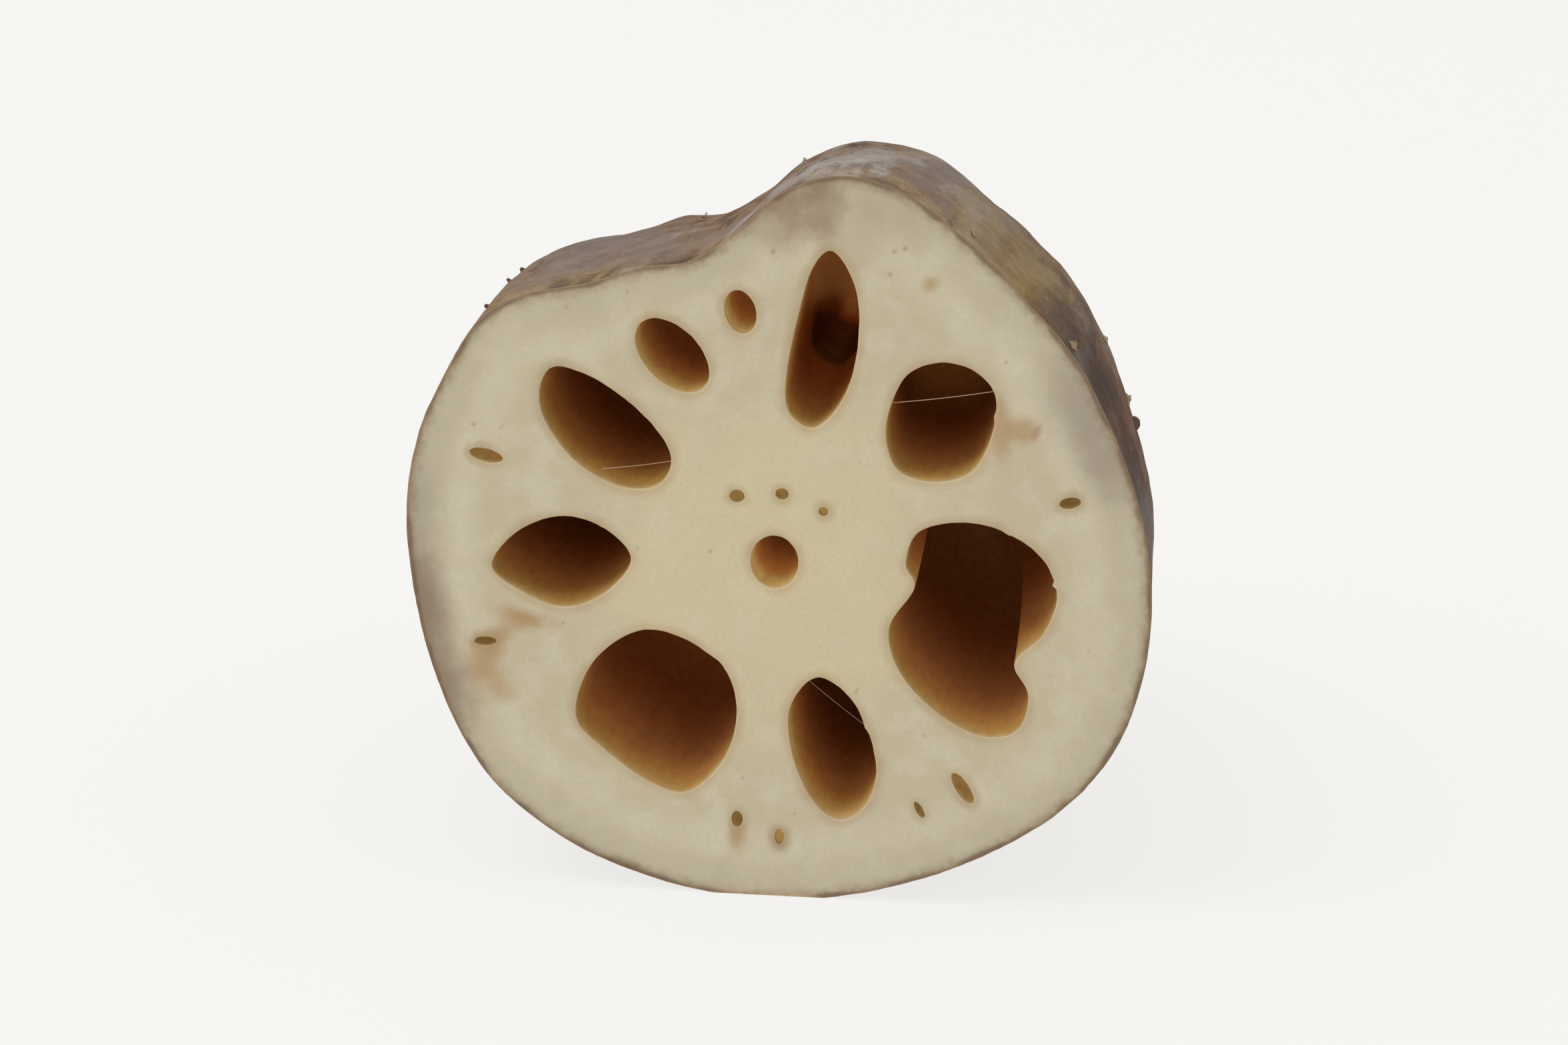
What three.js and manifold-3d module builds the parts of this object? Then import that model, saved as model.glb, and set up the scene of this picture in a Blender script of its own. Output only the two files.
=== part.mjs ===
import * as THREE from 'three';
import { mergeVertices } from 'three/addons/utils/BufferGeometryUtils.js';
import Module from 'manifold-3d';

// A piece of lotus root lying on its side, cut across where it is thickest.
// Millimetres, +Z up. The root runs along Y, from the fresh cut at the front (-Y)
// to the old, dried cut at the rear, where it narrows towards its node.
// The origin is on the floor, under the middle of the piece.
//
// Outlines are drawn on the fresh cut as [x, z], measured from the central pore.

// Driving dimensions
const length = 88; // fresh cut to old cut
const axisHeight = 36.5; // floor to the central pore at the fresh cut
const axisOffset = 0.6; // the central pore lies this far beside the middle of the piece
const tipDistance = 98; // fresh cut to where the taper would close
const taperPower = 2.6;
const taperRoundness = 0.37;
const bellyLevel = 0.97; // how far the axis sinks as the root narrows, so that it lies level
const sway = -6.5; // how far the root has curved to the left at the old cut
const swayPower = 1.1;
const oldCutRoundness = 0.7; // how far the outline has become a circle at the old cut
const roundingStart = 46;
const channelTaper = 0.6; // share of the taper that the channels follow
const channelDepth = 72; // fresh cut to the blind end of a channel
const pitDepth = 4; // the finest pores are only open this deep

// How finely the curves are stepped
const bodySides = 68;
const bodySteps = 17;
const channelSides = 26;
const channelSteps = 9;
const poreSides = 12;
const pitSides = 8;
const pitSteps = 2;

// The cut edge of the skin, with the long groove at the upper left
const skinOutline = [
  [-38.9, 1], [-37.8, 11], [-34.6, 18.6], [-30.6, 24.8], [-25.6, 27.5], [-19.8, 28.7], [-13.8, 30.6],
  [-8.8, 31.4], [-4.2, 34.4], [0.8, 38.8], [6.9, 40.7], [13.4, 39], [19.8, 34.3], [25.6, 28.6],
  [30.8, 22.6], [34.8, 15], [37.7, 6.8], [39, -1.4], [38.4, -10.4], [35.4, -19], [29.6, -26],
  [20.8, -31.6], [10.6, -35.4], [0, -37], [-11.6, -35.6], [-22.4, -31.4], [-31.2, -24], [-36.6, -12.4],
];

// The large air channels, clockwise from the top. Two have grown together in the third.
const channelOutlines = [
  [[6, 32.9], [8.2, 29.5], [8.7, 25.2], [8, 20], [6.2, 16.2], [3.8, 14.4], [1.4, 16.2], [1.3, 20.2],
    [2.4, 25.8], [3.9, 31]],
  [[11.9, 16.6], [13.7, 20.3], [17, 21.7], [20.4, 21], [22.7, 18.4], [22.3, 14], [20.2, 10.3],
    [16.4, 9.2], [12.9, 10.2], [11.6, 13.2]],
  [[13.7, 0.4], [15, 3.8], [19.4, 5], [24, 4.1], [27.8, 1.4], [29.3, -2.5], [27.9, -6.6], [25, -9.8],
    [26.5, -13.2], [25.4, -17], [21.8, -17.8], [17.2, -15.6], [13.2, -11.4], [12, -6.6], [14.6, -2.2]],
  [[4.4, -12.3], [7.8, -14.2], [10, -18.4], [10.7, -22.6], [9.4, -26.2], [6.8, -27.7], [4.1, -25.8],
    [2, -21.2], [1.6, -15.8]],
  [[-13.2, -7.9], [-9.4, -8.8], [-5.4, -11.6], [-4, -16.4], [-5.4, -21.6], [-9.2, -25.4], [-13.2, -24.6],
    [-18, -21.3], [-21.1, -17.8], [-19.8, -12.6], [-16.6, -9.2]],
  [[-29.9, -1.6], [-27, 2.2], [-22.4, 4], [-18, 2.9], [-15.1, -0.3], [-17.8, -4], [-22.2, -5.8],
    [-26.8, -4.3]],
  [[-24.5, 17.6], [-22.9, 19.9], [-18.8, 18.8], [-14, 15.4], [-10.9, 11.2], [-12, 7.9], [-16, 7.4],
    [-20.8, 9.9], [-24, 14.2]],
];

// Oval pores: centre, half length and half width, and turn of the long axis in degrees
const widePores = [
  { at: [-10.6, 21.5], half: [4.6, 2.9], turn: -45, depth: 46 },
  { at: [-3.5, 26.3], half: [2.3, 1.6], turn: -75, depth: 30 },
  { at: [0, 0], half: [2.8, 2.5], turn: 90, depth: 46 },
];
const finePores = [
  { at: [-3.9, 6.9], half: [0.8, 0.7], turn: 0 },
  { at: [0.8, 7.3], half: [0.7, 0.6], turn: 0 },
  { at: [5.1, 5.6], half: [0.5, 0.5], turn: 0 },
  { at: [-30.3, 10.2], half: [1.8, 0.7], turn: -12 },
  { at: [-30.7, -9.9], half: [1.2, 0.5], turn: 3 },
  { at: [-4, -28.2], half: [0.9, 0.6], turn: 90 },
  { at: [0.5, -29.9], half: [0.9, 0.5], turn: 90 },
  { at: [15.3, -26.2], half: [1, 0.4], turn: -62 },
  { at: [19.8, -23.6], half: [1.9, 0.7], turn: -57 },
  { at: [30.5, 7.5], half: [1.1, 0.6], turn: 11 },
];

// Towards the node the channels close, and leave shallow dimples in the old cut
const dimpleRing = { count: 9, radius: 14.5, half: [3.4, 0.9, 2.1] };
const middleDimple = { half: [2.4, 0.8, 2.4] };

const wasm = await Module();
wasm.setup();

function toSolid(geometry) {
  const bare = geometry.clone().deleteAttribute('normal').deleteAttribute('uv');
  const merged = mergeVertices(bare);
  return new wasm.Manifold(
    new wasm.Mesh({
      numProp: 3,
      vertProperties: merged.attributes.position.array,
      triVerts: new Uint32Array(merged.index.array),
    }),
  );
}

function toGeometry(solid) {
  const { vertProperties, triVerts } = solid.getMesh();
  const geometry = new THREE.BufferGeometry();
  geometry.setAttribute('position', new THREE.BufferAttribute(vertProperties, 3));
  geometry.setIndex(new THREE.BufferAttribute(triVerts, 1));
  return geometry;
}

// A closed body through rings of equal count. The rings go from front to rear,
// and each runs clockwise as seen from the front.
function loft(rings) {
  const count = rings[0].length;
  const faces = [];
  for (let start = 0; start < count * (rings.length - 1); start += count) {
    for (let i = 0; i < count; i++) {
      const here = start + i;
      const next = start + ((i + 1) % count);
      faces.push(here, next, here + count);
      faces.push(next, next + count, here + count);
    }
  }
  const capOf = (ring) => {
    const flat = ring.map((point) => new THREE.Vector2(point.x, point.z));
    return THREE.ShapeUtils.triangulateShape(flat, []);
  };
  for (const [a, b, c] of capOf(rings[0])) {
    faces.push(a, b, c);
  }
  const last = count * (rings.length - 1);
  for (const [a, b, c] of capOf(rings.at(-1))) {
    faces.push(last + a, last + c, last + b);
  }
  const geometry = new THREE.BufferGeometry().setFromPoints(rings.flat());
  geometry.setIndex(faces);
  return geometry;
}

// How much of its full thickness the root still has at a distance from the fresh cut
function taperAt(distance) {
  return (1 - (distance / tipDistance) ** taperPower) ** taperRoundness;
}

// The curved middle line of the root
function axisAt(distance) {
  const along = Math.max(distance, 0);
  const side = sway * (along / length) ** swayPower;
  const drop = bellyLevel * axisHeight * (1 - taperAt(along));
  return new THREE.Vector3(side, distance, -drop);
}

function splineOutline(points, sides) {
  const corners = points.map(([x, z]) => new THREE.Vector3(x, 0, z));
  const curve = new THREE.CatmullRomCurve3(corners, true, 'catmullrom', 0.5);
  return curve.getSpacedPoints(sides).slice(1);
}

function ovalOutline({ at, half, turn }, sides) {
  const upright = new THREE.Vector3(0, 1, 0);
  const centre = new THREE.Vector3(at[0], 0, at[1]);
  return Array.from({ length: sides }, (_, i) => {
    const angle = (2 * Math.PI * i) / sides;
    const point = new THREE.Vector3(half[0] * Math.cos(angle), 0, -half[1] * Math.sin(angle));
    return point.applyAxisAngle(upright, -THREE.MathUtils.degToRad(turn)).add(centre);
  });
}

function makeBody() {
  const outline = splineOutline(skinOutline, bodySides);
  const meanRadius = outline.reduce((sum, point) => sum + point.length(), 0) / bodySides;
  const rings = [];
  for (let step = 0; step <= bodySteps; step++) {
    const distance = length * Math.sin((Math.PI / 2) * (step / bodySteps));
    const rounding = oldCutRoundness * THREE.MathUtils.smoothstep(distance, roundingStart, length);
    rings.push(
      outline.map((point) => {
        const radius = THREE.MathUtils.lerp(point.length(), meanRadius, rounding);
        return point.clone().setLength(radius * taperAt(distance)).add(axisAt(distance));
      }),
    );
  }
  return toSolid(loft(rings));
}

// A blind channel that keeps its size for most of its depth and then closes like a dome
function makeChannel(outline, depth, steps) {
  const centre = new THREE.Vector3();
  outline.forEach((point) => centre.addScaledVector(point, 1 / outline.length));
  const straightShare = 0.6;
  const smallest = 0.15;
  const overrun = 1;
  const distances = [-overrun];
  for (let step = 1; step <= steps; step++) {
    distances.push(depth * Math.sin((Math.PI / 2) * (step / steps)));
  }
  const rings = distances.map((distance) => {
    const inside = Math.max(distance, 0);
    const closing = Math.max(0, inside / depth - straightShare) / (1 - straightShare);
    const size = Math.max(smallest, Math.sqrt(1 - closing ** 2));
    const share = 1 - channelTaper * (1 - taperAt(inside));
    return outline.map((point) => {
      const placed = point.clone().sub(centre).multiplyScalar(size).add(centre).multiplyScalar(share);
      return placed.add(axisAt(distance));
    });
  });
  return toSolid(loft(rings));
}

function makeDimple(half, angle, radius) {
  const dimple = new THREE.SphereGeometry(1, 12, 8);
  dimple.scale(...half).translate(0, 0, radius).rotateY(angle);
  return toSolid(dimple.translate(...axisAt(length)));
}

// The belly is pressed flat where the piece lies on the floor
function makeAboveFloor() {
  const room = 4 * length;
  const box = new THREE.BoxGeometry(room, room, room);
  return toSolid(box.translate(0, 0, room / 2 - axisHeight));
}

function makeRoot() {
  let root = makeBody().intersect(makeAboveFloor());
  for (const points of channelOutlines) {
    root = root.subtract(makeChannel(splineOutline(points, channelSides), channelDepth, channelSteps));
  }
  for (const pore of widePores) {
    root = root.subtract(makeChannel(ovalOutline(pore, poreSides), pore.depth, channelSteps));
  }
  for (const pore of finePores) {
    root = root.subtract(makeChannel(ovalOutline(pore, pitSides), pitDepth, pitSteps));
  }
  for (let i = 0; i < dimpleRing.count; i++) {
    const angle = (2 * Math.PI * i) / dimpleRing.count;
    root = root.subtract(makeDimple(dimpleRing.half, angle, dimpleRing.radius));
  }
  return root.subtract(makeDimple(middleDimple.half, 0, 0));
}

const fleshAndSkin = new THREE.MeshStandardMaterial({ color: 0xcdc4a5, roughness: 0.6, metalness: 0 });
const lotusRoot = new THREE.Mesh(toGeometry(makeRoot()), fleshAndSkin);
lotusRoot.name = 'lotus_root';
lotusRoot.position.set(axisOffset, -length / 2, axisHeight);

const group = new THREE.Group();
group.add(lotusRoot);

export default group;
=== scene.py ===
# A cut piece of lotus root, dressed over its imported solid.
# Lengths in the dictionaries are millimetres, colours are sRGB 0 to 255, angles are degrees.
import random
from math import cos, exp, inf, pi, radians, sin, sqrt

import bpy
import numpy as np
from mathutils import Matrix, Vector, noise
from mathutils.geometry import delaunay_2d_cdt
from numpy.linalg import norm


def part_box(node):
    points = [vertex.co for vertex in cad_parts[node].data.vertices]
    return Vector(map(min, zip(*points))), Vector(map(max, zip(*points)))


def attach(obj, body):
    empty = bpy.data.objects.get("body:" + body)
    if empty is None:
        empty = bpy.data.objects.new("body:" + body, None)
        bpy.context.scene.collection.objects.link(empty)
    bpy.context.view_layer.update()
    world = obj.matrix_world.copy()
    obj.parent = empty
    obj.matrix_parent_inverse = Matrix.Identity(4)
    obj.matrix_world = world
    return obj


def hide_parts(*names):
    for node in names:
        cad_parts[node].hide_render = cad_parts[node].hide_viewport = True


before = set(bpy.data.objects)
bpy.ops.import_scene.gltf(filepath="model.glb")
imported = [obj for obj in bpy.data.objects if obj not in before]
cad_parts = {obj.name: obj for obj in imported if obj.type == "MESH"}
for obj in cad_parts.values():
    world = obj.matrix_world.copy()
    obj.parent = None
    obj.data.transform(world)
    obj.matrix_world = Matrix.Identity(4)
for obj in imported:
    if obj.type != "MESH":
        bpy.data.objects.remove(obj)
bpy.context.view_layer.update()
rootLow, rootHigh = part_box("lotus_root")
mm = 0.001
rootLength = (rootHigh[1] - rootLow[1]) / mm  # fresh cut to old cut
print("frame loaded, root length", round(rootLength, 1), "mm")

# the form that the root shares with its solid
form = {
    "axisHeight": 36.5,  # floor to the central pore at the fresh cut
    "axisOffset": 0.6,
    "tipDistance": 98,
    "taperPower": 2.6,
    "taperRoundness": 0.37,
    "bellyLevel": 0.97,
    "sway": -6.5,
    "swayPower": 1.1,
    "oldCutRoundness": 0.7,
    "roundingStart": 46,
    "channelTaper": 0.6,
    "channelDepth": 72,
    "pitDepth": 4,
    "straightShare": 0.6,  # of a channel's depth, before it closes like a dome
    "smallestEnd": 0.15,
}

# outlines on the fresh cut as (x, z) from the central pore, clockwise seen from the front
skinCorners = [
    (-38.9, 1), (-37.8, 11), (-34.6, 18.6), (-30.6, 24.8), (-25.6, 27.5), (-19.8, 28.7), (-13.8, 30.6),
    (-8.8, 31.4), (-4.2, 34.4), (0.8, 38.8), (6.9, 40.7), (13.4, 39), (19.8, 34.3), (25.6, 28.6),
    (30.8, 22.6), (34.8, 15), (37.7, 6.8), (39, -1.4), (38.4, -10.4), (35.4, -19), (29.6, -26),
    (20.8, -31.6), (10.6, -35.4), (0, -37), (-11.6, -35.6), (-22.4, -31.4), (-31.2, -24), (-36.6, -12.4),
]
# the channels, clockwise from the top. The third is two that have grown together
channelCorners = [
    [(6, 32.9), (8.2, 29.5), (8.7, 25.2), (8, 20), (6.2, 16.2), (3.8, 14.4), (1.4, 16.2), (1.3, 20.2),
     (2.4, 25.8), (3.9, 31)],
    [(11.9, 16.6), (13.7, 20.3), (17, 21.7), (20.4, 21), (22.7, 18.4), (22.3, 14), (20.2, 10.3),
     (16.4, 9.2), (12.9, 10.2), (11.6, 13.2)],
    [(13.7, 0.4), (15, 3.8), (19.4, 5), (24, 4.1), (27.8, 1.4), (29.3, -2.5), (27.9, -6.6), (25, -9.8),
     (26.5, -13.2), (25.4, -17), (21.8, -17.8), (17.2, -15.6), (13.2, -11.4), (12, -6.6), (14.6, -2.2)],
    [(4.4, -12.3), (7.8, -14.2), (10, -18.4), (10.7, -22.6), (9.4, -26.2), (6.8, -27.7), (4.1, -25.8),
     (2, -21.2), (1.6, -15.8)],
    [(-13.2, -7.9), (-9.4, -8.8), (-5.4, -11.6), (-4, -16.4), (-5.4, -21.6), (-9.2, -25.4),
     (-13.2, -24.6), (-18, -21.3), (-21.1, -17.8), (-19.8, -12.6), (-16.6, -9.2)],
    [(-29.9, -1.6), (-27, 2.2), (-22.4, 4), (-18, 2.9), (-15.1, -0.3), (-17.8, -4), (-22.2, -5.8),
     (-26.8, -4.3)],
    [(-24.5, 17.6), (-22.9, 19.9), (-18.8, 18.8), (-14, 15.4), (-10.9, 11.2), (-12, 7.9), (-16, 7.4),
     (-20.8, 9.9), (-24, 14.2)],
]
# oval pores: centre, half length and half width, turn, and depth of the wide ones
ovalPores = [((-10.6, 21.5), (4.6, 2.9), -45, 46), ((-3.5, 26.3), (2.3, 1.6), -75, 30),
             ((0, 0), (2.8, 2.5), 90, 46)]
finePores = [
    ((-3.9, 6.9), (0.8, 0.7), 0), ((0.8, 7.3), (0.7, 0.6), 0), ((5.1, 5.6), (0.5, 0.5), 0),
    ((-30.3, 10.2), (1.8, 0.7), -12), ((-30.7, -9.9), (1.2, 0.5), 3), ((-4, -28.2), (0.9, 0.6), 90),
    ((0.5, -29.9), (0.9, 0.5), 90), ((15.3, -26.2), (1, 0.4), -62), ((19.8, -23.6), (1.9, 0.7), -57),
    ((30.5, 7.5), (1.1, 0.6), 11),
]


def smooth(value, low, high):
    share = np.clip((value - low) / (high - low), 0, 1)
    return share * share * (3 - 2 * share)


def taperAt(distance):
    closed = (distance / form["tipDistance"]) ** form["taperPower"]
    return (1 - closed) ** form["taperRoundness"]


def placeAt(flat, distance):
    # flat outline points at a distance behind the fresh cut, as millimetres in the frame
    side = form["sway"] * (distance / rootLength) ** form["swayPower"]
    drop = form["bellyLevel"] * form["axisHeight"] * (1 - taperAt(distance))
    along = np.full(len(flat), distance - rootLength / 2)
    return np.column_stack([flat[:, 0] + side + form["axisOffset"], along,
                            flat[:, 1] - drop + form["axisHeight"]])


def perimeterOf(loop):
    return norm(np.roll(loop, -1, axis=0) - loop, axis=1).sum()


def splineLoop(corners, spacing):
    # a closed Catmull-Rom curve through the corners, in even steps
    corners = np.array(corners, float)[:, None]
    t = np.linspace(0, 1, body["curveSteps"], endpoint=False)[:, None]
    a, b, c, d = (np.roll(corners, -step, axis=0) for step in (-1, 0, 1, 2))
    fine = b + 0.5 * t * (c - a + t * (2 * a - 5 * b + 4 * c - d + t * (3 * (b - c) + d - a)))
    fine = fine.reshape(-1, 2)
    count = round(perimeterOf(fine) / spacing)
    closed = np.vstack([fine, fine[:1]])
    run = np.concatenate([[0], np.cumsum(norm(np.diff(closed, axis=0), axis=1))])
    at = np.arange(count) * run[-1] / count
    return np.column_stack([np.interp(at, run, closed[:, k]) for k in (0, 1)])


def ovalLoop(centre, half, turn):
    count = max(body["leastPoreSides"], round(pi * sum(half) / body["poreSpacing"]))
    angle = np.linspace(0, 2 * pi, count, endpoint=False)
    x, z = half[0] * np.cos(angle), -half[1] * np.sin(angle)
    c, s = cos(radians(turn)), sin(radians(turn))
    return np.column_stack([centre[0] + c * x - s * z, centre[1] + s * x + c * z])


def outwardNormals(loop):
    along = np.roll(loop, -1, axis=0) - np.roll(loop, 1, axis=0)
    along /= norm(along, axis=1)[:, None]
    return np.column_stack([-along[:, 1], along[:, 0]])


def noiseOn(points, layers):
    # smooth noises added up, each as (height, size, seed). Points may be flat
    total = np.zeros(len(points))
    for height, size, seed in layers:
        shift = Vector((seed, 1.7 * seed, -seed))
        total += height * np.array([noise.noise(Vector((*point, 0)[:3]) / size + shift) for point in points])
    return total


def isInside(points, loop):
    x, z = points[:, 0], points[:, 1]
    inside = np.zeros(len(points), bool)
    for (ax, az), (bx, bz) in zip(loop, np.roll(loop, -1, axis=0)):
        if az != bz:
            crossing = (az > z) != (bz > z)
            inside ^= crossing & (x < (bx - ax) * (z - az) / (bz - az) + ax)
    return inside


def distanceTo(points, targets):
    # some targets at a time, which keeps the tables small
    nearest, batch = np.full(len(points), inf), 200
    for start in range(0, len(targets), batch):
        gaps = points[:, None] - targets[start:start + batch]
        nearest = np.minimum(nearest, np.sqrt((gaps ** 2).sum(axis=2)).min(axis=1))
    return nearest


# the root as one closed mesh. Noises are lists of (height, size, seed)
body = {
    "skinSpacing": 0.655,
    "channelSpacing": 0.46,
    "poreSpacing": 0.42,
    "leastPoreSides": 20,
    "faceSpacing": 0.62,
    "oldFaceSpacing": 0.75,
    "gridJitter": 0.12,  # of the spacing, as the next one is
    "edgeClearance": 0.62,
    "curveSteps": 24,  # between two corners, and along the profile, before the even steps
    "profileSteps": 400,
    "channelSteps": 28,
    "poreSteps": 18,
    "pitSteps": 7,
    "stepPower": 1.6,  # steps down a channel are closer at its rim
    # how the knife left the edges: how far out from the outline, and how deep
    "holeRim": [(0.3, 0), (0.13, 0.005), (0.04, 0.04), (0, 0.14)],
    "fullRimPerimeter": 12,  # smaller holes have smaller rims
    "skinRim": [(-0.35, 0), (-0.15, 0.005), (-0.05, 0.04), (0, 0.15)],
    "oldRim": [(0, 0.9), (-0.12, 0.4), (-0.42, 0.1), (-0.95, 0)],
    "rimTear": [(0.055, 0.75, 2), (0.055, 2.4, 5)],
    "tearShare": (0.35, 0.65),  # what every side has, and what the side in the way of the knife adds
    "knifeWay": (0.6, 0.8),
    "tearDepth": 1.3,
    "skinTear": [(0.05, 0.9, 12), (0.05, 3.1, 14)],
    "skinTearReach": (-0.4, 0),  # from this far inside the skin's edge out to it
    "skinEnd": -0.3,  # further in than this the dry cut begins
    "waves": [(0.07, 16, 4), (0.028, 5, 9)],  # of the knife-cut face
    "waveStretch": (1, 1.6),
    "waveDepth": 2,
    "oldRelief": [(0.22, 7, 2), (0.09, 2.2, 3)],
    "oldHollow": (0.35, 3),  # how far the old cut has sunk, and how far inside its edge
    "seed": 3,
}
# chips that stand into a hole at its rim, as (x, z, reach, half length)
rimChips = [(22.4, 16.3, 0.42, 0.45), (29.1, -1.2, 0.4, 0.22), (10.1, -17.3, 0.38, 0.5),
            (24.2, 4, 0.16, 0.6), (-7.3, -10.4, 0.15, 0.9)]
# painted glow: light that comes through the flesh into a hole, given as a weak emission on its walls
throughLight = {
    # behind the rim and at the blind end, in the order of the channels and of the oval pores
    "channels": [(0.06, 0), (0.04, 0.14), (0.06, 0.04), (0.5, 0.08), (0, 0.17), (0, 0.06), (0, 0.12),
                 (0.8, 0.4), (1.5, 0.8), (1.9, 0.2)],
    # behind the rim of the fine pores, and half of it at their end
    "pits": [1.2, 1.1, 1.6, 0.8, 0.65, 0.8, 1.7, 0.9, 0.9, 0.65],
    "nearStart": (0.2, 1.5),  # millimetres of depth in which it comes up
    "nearReach": 7,  # millimetres in which the light at the rim dies away
    "farReach": (0.35, 1),  # shares of the depth between which the light of the blind end grows
}
# painted light in the top channel: the flesh is thin above, so the upper walls get a painted glow and the
# lower wall painted shade
topLight = {
    "above": 0.4,
    "slant": 0.2,
    "aboveReach": (26, 30),  # slanted level over the central pore, in millimetres
    "aboveDepth": (4, 20),
    "dim": 0.8,
    "dimReach": (16.5, 23),
    "dimStart": (28, 42),
    "dimEnd": (60, 71),
}
skinFold = {
    "ridges": (8, 45),  # size across, size along
    "ridgeHeights": [(0.42, 1, 1), (0.21, 0.5, 8)],  # sizes are shares of a ridge
    "bumps": [(0.2, 5.5, 3), (0.055, 1.4, 6)],
    "wrinkles": (3.2, 9),
    "wrinkleDepth": 0.5,
    "wrinkleStart": 66,
    # broad swells as (direction, reach, height), level between the two stretches
    "swells": [(86, 15, -1), (40, 20, 1), (14, 16, 0.4)],
    "swellRise": (3, 20),
    "swellFall": (60, 86),
    "fadeIn": 4,  # the cut edge keeps its outline
}
dimples = {"count": 9, "ringRadius": 14.5, "half": (3.4, 2.1), "depth": 0.85, "middle": 2.4}

farOff = 20  # stands for no edge near
pointValues = {"rimDistance": 0, "skinDistance": farOff, "dent": 0, "glow": 0}
mesh = {name: [] for name in ("points", "faces", "materials", "maps", *pointValues)}
fleshSlot, skinSlot, oldCutSlot = 0, 1, 2

# places on the texture sheet as (left, bottom, width, height)
sheet = {
    "face": (0.004, 0.415, 0.58, 0.58),
    "skin": (0.004, 0.004, 0.992, 0.4),
    "oldCut": (0.592, 0.415, 0.19, 0.19),
    "channels": (0.592, 0.614, 0.404, 0.382),
    "pits": (0.79, 0.415, 0.206, 0.19),
}
# what the flat places show: millimetres across, and x and z of the middle
flatViews = {"face": (82, 0, 2), "oldCut": (46, 0, 0)}
stripShare = (0.04, 0.92)  # start and width of a channel's wall in its strip
skinShare = (0.97, 0.94)  # top and height of the skin in its place
oldRimShare = 0.006  # height of each ring round the old cut


def addPoints(points, **values):
    first = len(mesh["points"])
    mesh["points"].extend(points.tolist())
    for name, usual in pointValues.items():
        mesh[name].extend(np.broadcast_to(values.get(name, usual), len(points)).tolist())
    return np.arange(first, first + len(points))


def addFace(ids, maps, slot):
    mesh["faces"].append([int(i) for i in ids])
    mesh["maps"].extend(maps)
    mesh["materials"].append(slot)


def onFlat(flat, area="face"):
    left, bottom, width, height = sheet[area]
    span, middleX, middleZ = flatViews[area]
    return [(left + width * (0.5 + (x - middleX) / span), bottom + height * (0.5 + (z - middleZ) / span))
            for x, z in flat]


def onStrip(sides, left, width, level):
    return [(left + width * i / sides, level) for i in range(sides + 1)]


def bridge(front, rear, slot):
    # a band of quads between two rings, each given as its points and their places on the sheet
    (frontIds, frontMaps), (rearIds, rearMaps) = front, rear
    for i in range(len(frontIds)):
        j = (i + 1) % len(frontIds)
        addFace((frontIds[i], frontIds[j], rearIds[j], rearIds[i]),
                (frontMaps[i], frontMaps[i + 1], rearMaps[i + 1], rearMaps[i]), slot)


def onRim(ids, flat):
    return ids, onFlat([*flat, flat[0]])


def fillFlat(outer, holes, spacing, seed):
    # evenly spread triangles between the outer loop and the holes
    def between(points):
        inside = isInside(points, outer)
        for hole in holes:
            inside &= ~isInside(points, hole)
        return inside

    low, high = outer.min(axis=0), outer.max(axis=0)
    rows = np.arange(low[1], high[1], spacing * sqrt(3) / 2)
    grid = np.array([(x + (row % 2) * spacing / 2, z) for row, z in enumerate(rows)
                     for x in np.arange(low[0], high[0], spacing)])
    jitter = body["gridJitter"]
    grid += np.random.default_rng(seed).uniform(-jitter, jitter, grid.shape) * spacing
    loops = [outer, *holes]
    clear = distanceTo(grid, np.concatenate(loops)) > body["edgeClearance"] * spacing
    grid = grid[between(grid) & clear]
    edges, first = [], 0
    for loop in loops:
        edges += [(first + i, first + (i + 1) % len(loop)) for i in range(len(loop))]
        first += len(loop)
    every = np.concatenate(loops + [grid])
    corners = [Vector(point) for point in every]
    tolerance = 1e-5
    _, _, triangles, sources, _, _ = delaunay_2d_cdt(corners, edges, [], 0, tolerance, True)
    triangles = np.array([[sources[corner][0] for corner in triangle] for triangle in triangles])
    return grid, triangles[between(every[triangles].mean(axis=1))]


def addTriangles(triangles, ids, flat, area, slot):
    maps = onFlat(flat, area)
    for triangle in triangles:
        addFace(ids[triangle], [maps[corner] for corner in triangle], slot)


def faceWave(flat):
    # the slight waves that the knife left, in millimetres along the root
    return noiseOn(flat * body["waveStretch"], body["waves"])


def raggedRim(loop, normals):
    usual, added = body["tearShare"]
    facing = np.clip(normals @ np.array(body["knifeWay"]), 0, 1)
    ragged = (usual + added * facing) * noiseOn(loop, body["rimTear"])
    for x, z, reach, halfLength in rimChips:
        gap = np.hypot(loop[:, 0] - x, loop[:, 1] - z)
        ragged -= reach * np.exp(-((gap / halfLength) ** 2))
    return ragged


# painted glow on the upper walls of the top channel, and painted shade on its lower wall where the result is
# below nothing
def lightFromAbove(level, distance):
    slanted = level + topLight["slant"] * distance
    above = smooth(slanted, *topLight["aboveReach"]) * smooth(distance, *topLight["aboveDepth"])
    dim = smooth(distance, *topLight["dimStart"]) * (1 - smooth(distance, *topLight["dimEnd"]))
    return topLight["above"] * above - topLight["dim"] * dim * (1 - smooth(level, *topLight["dimReach"]))


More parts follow.
